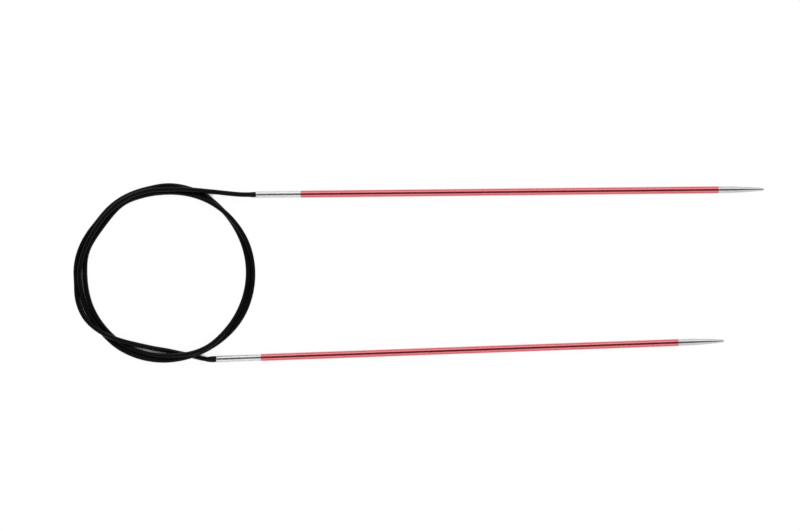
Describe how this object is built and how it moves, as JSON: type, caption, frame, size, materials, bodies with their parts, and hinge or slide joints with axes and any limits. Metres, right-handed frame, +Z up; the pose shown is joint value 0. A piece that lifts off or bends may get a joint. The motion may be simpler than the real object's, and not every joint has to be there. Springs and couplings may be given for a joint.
{
  "type": "circular knitting needle",
  "caption": "Circular knitting needle: two pointed rigid needles, each swivelling on an end of one flexible coiled cable.",
  "frame": {"origin": "centre of the outline of the two needles, on the surface that they lie on", "axes": "+X along the needles towards their points, +Y from needle_b towards needle_a, +Z up"},
  "size_m": [0.1676, 0.0447, 0.0024],
  "materials": {
    "red_anodised": "satin anodised",
    "bright_nickel": "polished plating",
    "pin_steel": "turned",
    "black_cable": "extruded nylon",
    "black_collar": "moulded"
  },
  "bodies": {
    "cable": {"cable_coil": "black_cable", "cable_tail_a": "black_cable", "cable_tail_b": "black_cable", "cable_collar_b": "black_collar", "swivel_pin_b": "pin_steel"},
    "cable_bend": {"cable_end_a": "black_cable", "cable_collar_a": "black_collar", "swivel_pin_a": "pin_steel"},
    "needle_a": {"ferrule_a": "bright_nickel", "shaft_a": "red_anodised", "tip_a": "bright_nickel"},
    "needle_b": {"ferrule_b": "bright_nickel", "shaft_b": "red_anodised", "tip_b": "bright_nickel"}
  },
  "joints": [
    {"name": "cable_flex", "type": "hinge", "parent": "cable", "child": "cable_bend", "pos_m": [-0.063, 0.0195, 0.00087], "axis": [0, 0, 1], "range_deg": [-12, 45], "stiffness_Nm_per_rad": 0.006},
    {"name": "needle_a_swivel", "type": "hinge", "parent": "cable_bend", "child": "needle_a", "pos_m": [-0.0567, 0.01925, 0.00088], "axis": [0.9999, 0.0105, 0], "continuous": true},
    {"name": "needle_b_swivel", "type": "hinge", "parent": "cable", "child": "needle_b", "pos_m": [-0.0663, -0.02055, 0.00088], "axis": [0.9994, 0.0358, 0], "continuous": true}
  ]
}
